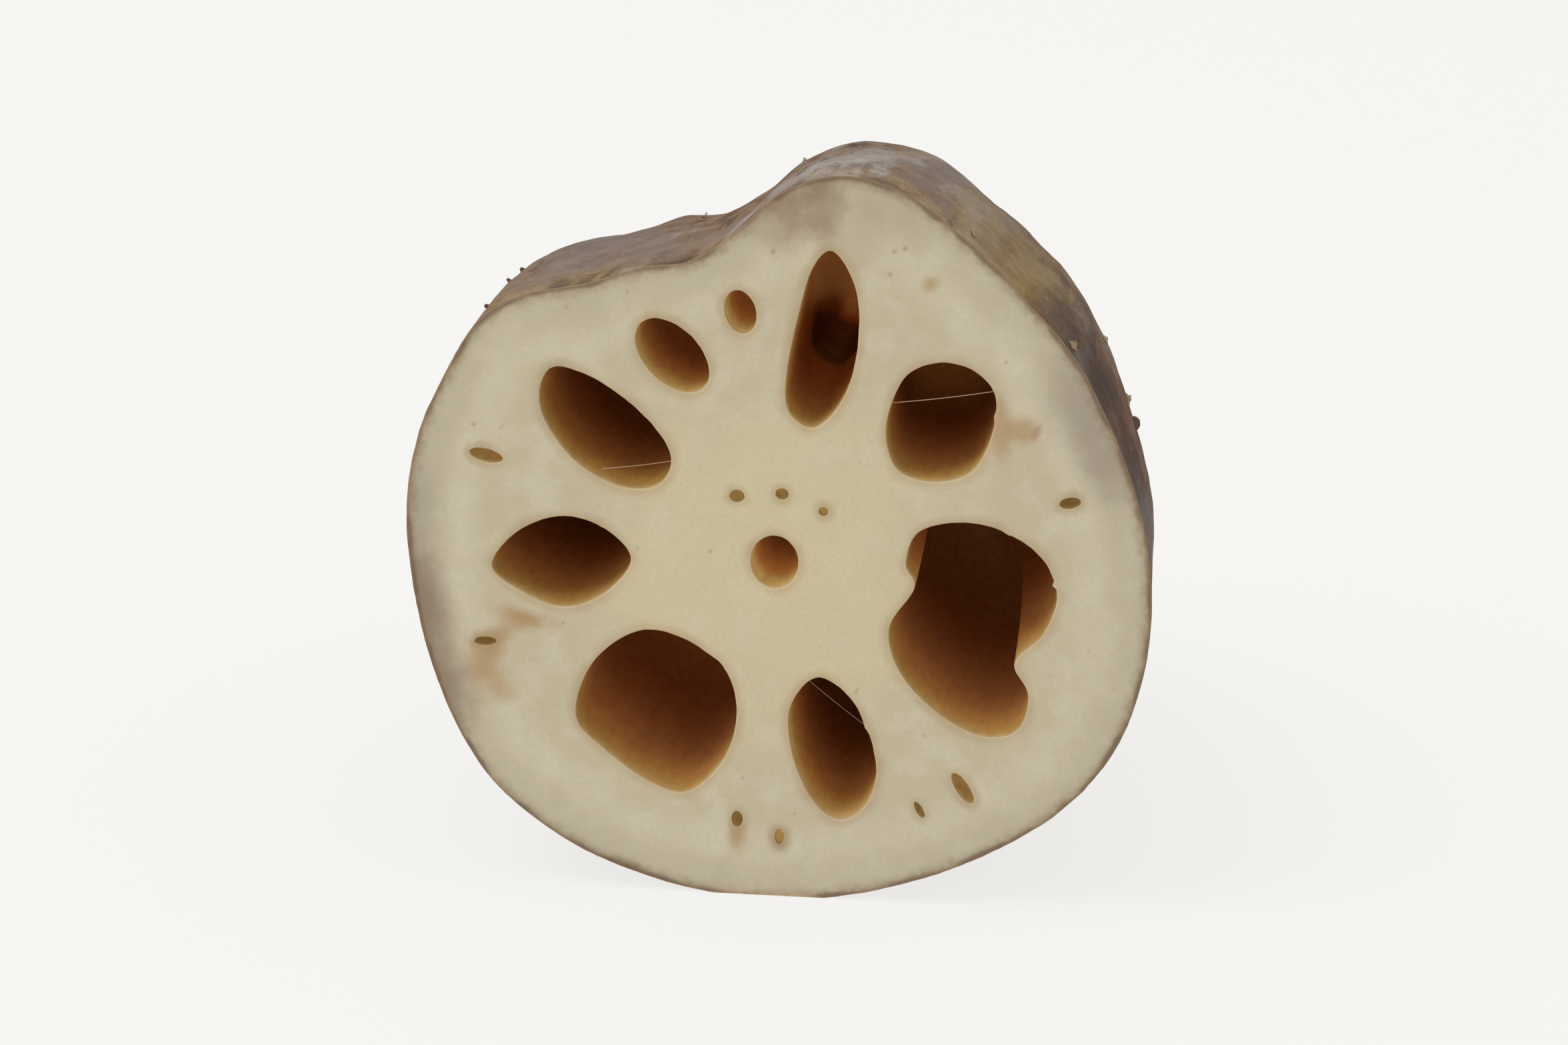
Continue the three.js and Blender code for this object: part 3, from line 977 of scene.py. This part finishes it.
# stains on the fresh cut: x, z, half width, half height, turn, raggedness, soft edge, strength, colour
fleshStains = [
    (16, 29.8, 1.1, 0.9, 30, 0.4, 0.9, 0.65, "tan"),
    (23.4, 14.9, 1.4, 3.6, 0, 0.12, 0.7, 0.65, "tan"),
    (25.6, 14.9, 2, 1.7, 0, 0.12, 0.7, 0.7, "tan"),
    (27, 14.9, 0.5, 1, -30, 0.1, 0.9, 0.4, "brown"),
    (-26.6, -7.2, 3.8, 1.3, -14, 0.5, 0.9, 0.85, "tan"),
    (-30.2, -10.4, 2.4, 1.8, 48, 0.4, 0.9, 0.7, "tan"),
    (-28.6, -8.8, 1.8, 1.3, 40, 0.15, 0.9, 0.6, "tan"),
    (-30.8, -13, 2.5, 3.4, 20, 0.4, 0.9, 0.75, "tan"),
    (-28.9, -15.4, 1.8, 1.4, 0, 0.4, 0.9, 0.4, "tan"),
    (-37.4, -6, 3.4, 7, 8, 0.3, 0.8, 0.9, "mauve"),
    (-35.4, -14.5, 3.2, 6.5, 22, 0.3, 0.9, 0.8, "mauve"),
    (-38, 4, 3, 7, 0, 0.3, 0.9, 0.4, "violet"),
    (-33.5, 21.5, 1.6, 3.6, -28, 0.4, 0.9, 0.4, "tan"),
    (4.6, 39, 2.6, 2.8, 0, 0.6, 0.95, 0.75, "haze"),
    (4.6, 36.4, 2.4, 3.4, 0, 0.5, 0.95, 0.55, "haze"),
    (1, 37.4, 4, 2.4, -35, 0.5, 0.95, 0.7, "haze"),
    (0, 34.6, 3.6, 2, -30, 0.5, 0.95, 0.35, "haze"),
    (9.4, 36, 7, 5, 30, 0.4, 0.95, 0.25, "haze"),
    # painted shade on the right side of the face, where less light falls
    (31.4, 17, 3.6, 7, 26, 0.3, 0.9, 0.6, "violet"),
    (34, 11, 2.8, 5, 20, 0.3, 0.9, 0.5, "violet"),
    (-4, -30, 1.2, 2, 0, 0.4, 0.9, 0.75, "tan"),
    (0.6, -30.2, 1.4, 1.6, 0, 0.4, 0.9, 0.55, "dot"),
    (-16.5, -34.4, 5.5, 1.3, -18, 0.6, 0.9, 0.85, "skinLine"),
]
dots = {
    "places": [(-6.7, 0.9), (13.4, 33.4), (11.9, 30.7), (-0.1, 32.7), (12.3, 33.1), (-31.5, 13.5)],
    "radius": 0.3,
    "strength": 0.5,
}

# where colours of the flesh start and end, in millimetres, and how strong they are there
fleshZones = {
    "middle": (9, 26),  # from the central pore, as the next
    "clouds": (6, 24, 0.25, 0.55),
    "ringStart": (3.2, 5.6),  # from the skin, as the next two
    "ringEnd": (6, 9, 0.4, 0),
    "outer": (0.3, 5, 0.5, 0),
    "rimHalo": (-0.4, 1.3, 0.58, 0),  # from a hole
    "skinTan": (-0.3, 1.6, 0.85, 0),
    "skinLine": (-0.3, 0.3, 0.7, 0),
    "wall": (0.1, 0.6),  # behind the cut, as the next
    "pitEnd": (3.8, 6),
}


def makeFleshMaterial():
    material, n, shader = startMaterial("root_flesh")
    place = n.group(rootPlace)
    spot, depth, long = place["Spot"], place["Depth"], place["Stretched"]
    color, zones = paintsOf(fleshFinish), fleshZones
    rim, edge, glow = (n.attribute(name) for name in ("rimDistance", "skinDistance", "glow"))

    # warm in the middle and cool outside of it, with paler clouds
    cloud = n.noise(spot, 8, 3)
    reach = n.shift(place["Radius"], cloud, 20)
    pale = n.noise(spot, 4.5, 4, 0.6)
    paler = n.times(n.fade(pale, 0.44, 0.66), n.fade(reach, *zones["clouds"]))
    # a pale ring of vessels inside the skin, and a tan zone outside of it
    wander = n.shift(edge, cloud, 5)
    ring = n.times(n.fade(wander, *zones["ringStart"]), n.fade(wander, *zones["ringEnd"]))
    grain = n.noise(spot, 0.5, 2, 0.6)
    faint = n.mask(specks, Vector=spot, Scale=0.42, Size=0.11, Amount=0.35)
    layers = [(n.fade(reach, *zones["middle"]), "cool"), (paler, "pale"), (ring, "pale"),
              (n.fade(wander, *zones["outer"]), "outer"),
              (n.fade(grain, 0.3, 0.7, 0, 0.16), "grain"), (n.times(faint, 0.3), "dot")]
    wobble = n.noise(spot, 2.6, 4, 0.6)
    for *oval, ragged, soft, strength, tint in fleshStains:
        layers.append((n.times(ovalStain(n, spot, wobble, oval, ragged, soft), strength), tint))
    for x, z in dots["places"]:
        oval = (x, z, dots["radius"], dots["radius"], 0)
        layers.append((n.times(ovalStain(n, spot, wobble, oval, 0.3, 0.9), dots["strength"]), "dot"))
    # the edges of the holes and of the skin
    patchy = n.noise(spot, 4, 3)
    frayed = n.shift(edge, n.noise(spot, 1.1, 3, 0.6), 1.6)
    line = n.minus(edge, n.fade(patchy, 0.3, 0.7, 0.15, 0.6))
    layers += [(n.fade(n.shift(rim, patchy, 1.6), *zones["rimHalo"]), "rimHalo"),
               (n.fade(frayed, *zones["skinTan"]), "skinTan"),
               (n.fade(line, *zones["skinLine"]), "skinLine")]
    face = n.coat(color["warm"], layers, color)

    # the walls turn brown with depth
    uneven = n.noise(long, 2.4, 3, 0.6)
    deep = n.times(depth, n.fade(uneven, 0.25, 0.75, 0.75, 1.3))
    share = n.calc("SQRT", n.calc("DIVIDE", deep, float(form["channelDepth"]), True))
    stops = [(sqrt(stop / form["channelDepth"]), paint(*tint)) for stop, tint in fleshFinish["walls"]]
    streaks = n.noise(long, 0.8, 3, 0.65)
    # where the glow is below nothing, the unlit colour is painted shade on the wall
    layers = [(n.fade(streaks, 0.35, 0.75, 0, 0.2), "streak"), (n.fade(glow, -0.5, 0, 0.85, 0), "unlit")]
    wall = n.coat(n.ramp(share, stops), layers, color)
    # painted glow: a weak warm emission on the walls stands for light that comes through the flesh
    lit = n.times(n.calc("MAXIMUM", glow, 0), n.fade(streaks, 0.3, 0.7, 1.1, 0.85))
    glowColor = n.mix(n.fade(depth, *zones["pitEnd"]), color["pitGlow"], color["glow"])
    n.feed(shader["Emission Color"], n.mix(1, glowColor, lit, "MULTIPLY"))
    shader["Emission Strength"].default_value = 1
    material.cycles.emission_sampling = "NONE"

    shader["Subsurface Weight"].default_value = fleshFinish["softness"]
    shader["Subsurface Radius"].default_value = fleshFinish["lightReach"]
    shader["Subsurface Scale"].default_value = fleshFinish["glowDepth"]
    height = n.plus(n.times(n.noise(spot, 0.35, 3, 0.6), 0.35), n.noise(spot, 1.6, 2))
    rough = n.fade(pale, 0.3, 0.7, fleshFinish["roughness"] - 0.08, fleshFinish["roughness"] + 0.1)
    whole = n.mix(n.fade(depth, *zones["wall"]), face, wall)
    setSurface(n, shader, whole, rough, 0.4, (0.35, 0.00012, height))
    return material


skinFinish = {
    "base": (120, 101, 87),
    "tan": (164, 140, 96),
    "olive": (138, 115, 66),
    "ochre": (142, 116, 76),
    "blotch": (112, 74, 50),
    "rust": (86, 60, 48),
    "deepRust": (64, 44, 34),
    # grey stands for a painted sheen on the top of the skin
    "grey": (158, 153, 147),
    "darkRust": (76, 52, 40),
    "purple": (74, 56, 50),
    "shade": (196, 182, 174),
    "speck": (70, 54, 42),
    "pink": (172, 126, 102),
    "flake": (200, 190, 175),
    "roughness": 0.65,
}
# marks on the skin beside the cut: x, z, half width, half height, turn, depth to which it is whole,
# depth at which it ends, strength, colour
skinMarks = [
    (-20.5, 28.6, 6, 2, -12, 3, 12, 0.6, "olive"),
    (-22.6, 28, 1.8, 1.2, 0, 1, 5, 0.8, "darkRust"),
    (-19.8, 28.7, 1, 1.2, 0, 2, 6, 0.7, "darkRust"),
    (-17.6, 29.4, 0.7, 1.2, 0, 4, 8, 0.6, "darkRust"),
    (-10.6, 31.2, 2.6, 1.6, 0, 1, 7, 0.85, "darkRust"),
    (-12.8, 30.9, 1, 1, 0, 3, 8, 0.6, "darkRust"),
    (-3.6, 35, 3.4, 2.2, 45, 1, 5, 0.6, "rust"),
    (1.6, 39.2, 2.4, 1.4, 30, 0, 3.5, 0.85, "darkRust"),
    (11.4, 39.6, 3.6, 1.3, -18, 0, 2.5, 0.7, "rust"),
    (28.7, 25.1, 3.6, 3.6, -45, 10, 18, 0.7, "deepRust"),
    (32.7, 19.2, 4.4, 6.5, 28, 12, 20, 0.9, "deepRust"),
    (36.5, 10.3, 3.4, 8, 12, 10, 18, 0.6, "deepRust"),
]
# tinted flanks of the skin, partly painted light: grey is a painted sheen on top, and rust and dark rust on
# the right are partly painted shade. Direction in degrees, half width in degrees, strength, colour
skinFlankTintsAndLight = [(86, 22, 0.8, "grey"), (48, 30, 0.85, "olive"), (12, 24, 0.9, "rust"),
              (-14, 24, 0.75, "darkRust"), (190, 26, 0.35, "purple")]
# specks: cells in a millimetre, size and share of the cells, strength, colour
skinSpecks = [(0.55, 0.2, 0.35, 0.55, "speck"), (1.3, 0.22, 0.35, 0.5, "speck"), (0.7, 0.2, 0.2, 0.5, "pink")]

# depths between which an effect changes, and how strong it is at both
skinZones = {
    "tan": (2, 40, 0.35, 0.95),
    "ochre": (1, 7, 0.85, 0),
    "flanks": (12, 50, 1, 0.55),
    "blotches": (4, 60, -0.08, 0.05),
    "shade": (6, 34, 0, 0.5),
}


def makeSkinMaterial():
    material, n, shader = startMaterial("root_skin")
    place = n.group(rootPlace)
    spot, long, depth = place["Spot"], place["Stretched"], place["Depth"]
    color, zones = paintsOf(skinFinish), skinZones
    ragged = n.noise(spot, 2, 4, 0.65)
    thin = n.shift(depth, ragged, 9)
    tan = n.clouds(long, 0.1, 4, 0.42, 0.66)
    # thinner and ochre at the cut
    layers = [(n.times(tan, n.fade(depth, *zones["tan"])), "tan"),
              (n.fade(thin, *zones["ochre"]), "ochre")]

    blur = n.noise(long, 6, 5, 0.6)
    wander = n.add("TexNoise", {"Vector": long, "Scale": 0.12, "Detail": 5, "Roughness": 0.6})["Color"]
    wander = n.scaled(n.vector("SUBTRACT", wander, (0.5,) * 3)[0], 0.9)
    heading = n.vector("ADD", place["Heading"], wander)[0]
    # tints round the skin, with a painted sheen on top and painted shade down the right side, strongest near
    # the cut
    rearward = n.fade(depth, *zones["flanks"])
    for direction, halfWidth, strength, tint in skinFlankTintsAndLight:
        middle, wide, narrow = (radians(angle) for angle in (direction, halfWidth, 0.3 * halfWidth))
        flank = n.mask(sector, Heading=heading, Middle=(cos(middle), 0, sin(middle)),
                       Wide=cos(wide), Narrow=cos(narrow))
        patch = n.times(flank, n.fade(blur, 0.34, 0.56, 0.55 * strength, strength))
        layers.append((n.times(patch, rearward), tint))

    # rust-brown blotches drawn out along the root, more of them away from the cut, with darker hearts
    broad = n.noise(long, 10, 6, 0.62)
    blotch = n.plus(n.shift(broad, ragged, 0.5), n.fade(depth, *zones["blotches"]))
    streak = n.noise(long, 5, 5, 0.6)
    layers += [(n.fade(blotch, 0.46, 0.56, 0, 0.7), "blotch"),
               (n.fade(blotch, 0.56, 0.7, 0, 0.8), "darkRust"), (n.fade(streak, 0.58, 0.7, 0, 0.8), "purple")]
    for *oval, nearest, furthest, strength, tint in skinMarks:
        mark = ovalStain(n, spot, ragged, oval, 0.5, 0.8)
        layers.append((n.times(mark, n.fade(thin, nearest, furthest, strength, 0)), tint))
    skin = n.coat(color["base"], layers, color)

    # darker grain and clouds, and painted shade that makes the skin duller and cooler further back
    grain = n.noise(spot, 0.8, 4, 0.7)
    cloudy = n.clouds(spot, 0.3, 5, 0.36, 0.64)
    shades = (n.fade(grain, 0.35, 0.7, 0, 0.4), n.times(cloudy, 0.5), n.fade(depth, *zones["shade"]))
    skin = n.coat(skin, [(shade, "shade") for shade in shades], color, "MULTIPLY")
    layers = [(n.times(n.mask(specks, Vector=spot, Scale=scale, Size=size, Amount=amount), strength), tint)
              for scale, size, amount, strength, tint in skinSpecks]
    peel = n.clouds(spot, 0.5, 6, 0.7, 0.76)
    layers.append((n.times(peel, 0.4), "flake"))
    skin = n.coat(skin, layers, color)

    rough = n.fade(broad, 0.4, 0.6, skinFinish["roughness"] - 0.1, skinFinish["roughness"] + 0.15)
    height = n.plus(n.noise(long, 1.1, 5, 0.65), n.times(grain, 0.6))
    setSurface(n, shader, skin, rough, 0.16, (0.5, 0.0003, height))
    return material


oldCutFinish = {"dry": (184, 150, 124), "dust": (200, 178, 152), "rim": (100, 70, 60), "mark": (122, 70, 44),
                "brown": (150, 104, 70), "hollow": (78, 44, 30)}


def makeOldCutMaterial():
    material, n, shader = startMaterial("root_old_cut")
    spot = n.group(rootPlace)["Spot"]
    color = paintsOf(oldCutFinish)
    dust = n.clouds(spot, 0.25, 5, 0.35, 0.68)
    brown = n.clouds(spot, 0.14, 6, 0.52, 0.7)
    wobble = n.noise(spot, 1.5, 4, 0.6)
    marked = n.shift(n.attribute("dent"), wobble, 0.5)
    worn = n.shift(n.attribute("skinDistance"), wobble, 2.4)
    uneven = n.fade(n.noise(spot, 9, 2), 0.38, 0.6, 0.55, 1)
    layers = [(dust, "dust"), (n.times(brown, 0.55), "brown"),
              (n.times(n.fade(marked, 0, 0.55), uneven), "mark"),
              (n.times(n.fade(marked, 0.55, 1, 0, 0.8), uneven), "hollow"),
              (n.fade(worn, 0.6, 2.4, 0.8, 0), "rim")]
    dry = n.coat(color["dry"], layers, color)
    setSurface(n, shader, dry, 0.75, 0.3, (0.6, 0.0003, n.noise(spot, 0.7, 5, 0.65)))
    return material


# the small pieces: two colours, size of the mottling, roughness
smallFinishes = {
    "root_silk": ((190, 160, 140), (190, 160, 140), 1, 0.4),
    "root_stub": ((92, 72, 58), (66, 52, 44), 0.6, 0.8),
    "skin_flake": ((152, 134, 106), (116, 88, 62), 1.2, 0.75),
}


def makeSmallMaterial(name):
    under, over, size, roughness = smallFinishes[name]
    material, n, shader = startMaterial(name)
    spot = n.group(rootPlace)["Spot"]
    mask = n.clouds(spot, 1 / size, 4, 0.38, 0.66)
    setSurface(n, shader, n.mix(mask, paint(*under), paint(*over)), roughness, 0.25)
    return material


for material in (makeFleshMaterial(), makeSkinMaterial(), makeOldCutMaterial()):
    cutRoot.data.materials.append(material)
for piece, materialName in ((silkThreads, "root_silk"), (rootStubs, "root_stub"), (skinFlakes, "skin_flake")):
    piece.data.materials.append(makeSmallMaterial(materialName))
print("materials made")

studio = {
    "floorRadius": 4.0,  # metres
    "floorColor": (243, 242, 240),
    "floorOwnLight": 0.88,  # share of the floor's brightness that no shadow takes away
    "skyColor": (246, 245, 243),
    "skyStrength": 1.0,
    "floorSides": 96,
    "keyPlace": (-0.45, -0.35, 0.9),
    "keySize": 0.7,
    "keyPower": 4.0,
}


def makeFloor():
    angles = [2 * pi * i / studio["floorSides"] for i in range(studio["floorSides"])]
    ring = [(studio["floorRadius"] * cos(angle), studio["floorRadius"] * sin(angle), 0)
            for angle in angles]
    floor = makeMeshObject("floor", ring, [list(range(len(ring)))], sharpAngle=30)
    material, n, shader = startMaterial("studio_floor")
    own = studio["floorOwnLight"]
    color = paint(*studio["floorColor"])
    setSurface(n, shader, (*(value * (1 - own) for value in color[:3]), 1.0), 0.9, 0.1)
    shader["Emission Color"].default_value = color
    shader["Emission Strength"].default_value = own
    material.cycles.emission_sampling = "NONE"
    floor.data.materials.append(material)


def makeLight():
    scene = bpy.context.scene
    scene.view_settings.view_transform = "Standard"
    world = bpy.data.worlds.new("studio")
    world.use_nodes = True
    background = world.node_tree.nodes["Background"].inputs
    background["Color"].default_value = paint(*studio["skyColor"])
    background["Strength"].default_value = studio["skyStrength"]
    scene.world = world
    data = bpy.data.lights.new("key", "AREA")
    data.shape, data.size, data.energy = "DISK", studio["keySize"], studio["keyPower"]
    lamp = bpy.data.objects.new("key", data)
    scene.collection.objects.link(lamp)
    lamp.location = studio["keyPlace"]
    aim = Vector((0, 0, form["axisHeight"] * mm)) - lamp.location
    lamp.rotation_euler = aim.to_track_quat("-Z", "Y").to_euler()


view = {
    "azimuth": 9,
    "elevation": 15.5,
    "distance": 460,
    "aimRight": 1.0,  # from the central pore, as the camera sees it
    "aimUp": 4.1,
    "frameHeight": 108,  # millimetres seen at the central pore
    "aspect": 2352 / 1568,
    "sensorWidth": 36,
}


def makeCamera():
    scene = bpy.context.scene
    data = bpy.data.cameras.new("camera")
    data.sensor_width = view["sensorWidth"]
    data.lens = view["sensorWidth"] * view["distance"] / (view["frameHeight"] * view["aspect"])
    data.clip_start, data.clip_end = 0.01, 50
    camera = bpy.data.objects.new("camera", data)
    scene.collection.objects.link(camera)
    around, above = radians(view["azimuth"]), radians(view["elevation"])
    back = Vector((sin(around) * cos(above), -cos(around) * cos(above), sin(above)))
    right = Vector((cos(around), sin(around), 0))
    up = back.cross(right)
    pore = Vector((form["axisOffset"], -rootLength / 2, form["axisHeight"]))
    place = pore + back * view["distance"]
    aim = pore + right * view["aimRight"] + up * view["aimUp"]
    camera.location = place * mm
    camera.rotation_euler = (aim - place).to_track_quat("-Z", "Y").to_euler()
    scene.camera = camera


makeFloor()
makeLight()
makeCamera()
print("studio set")
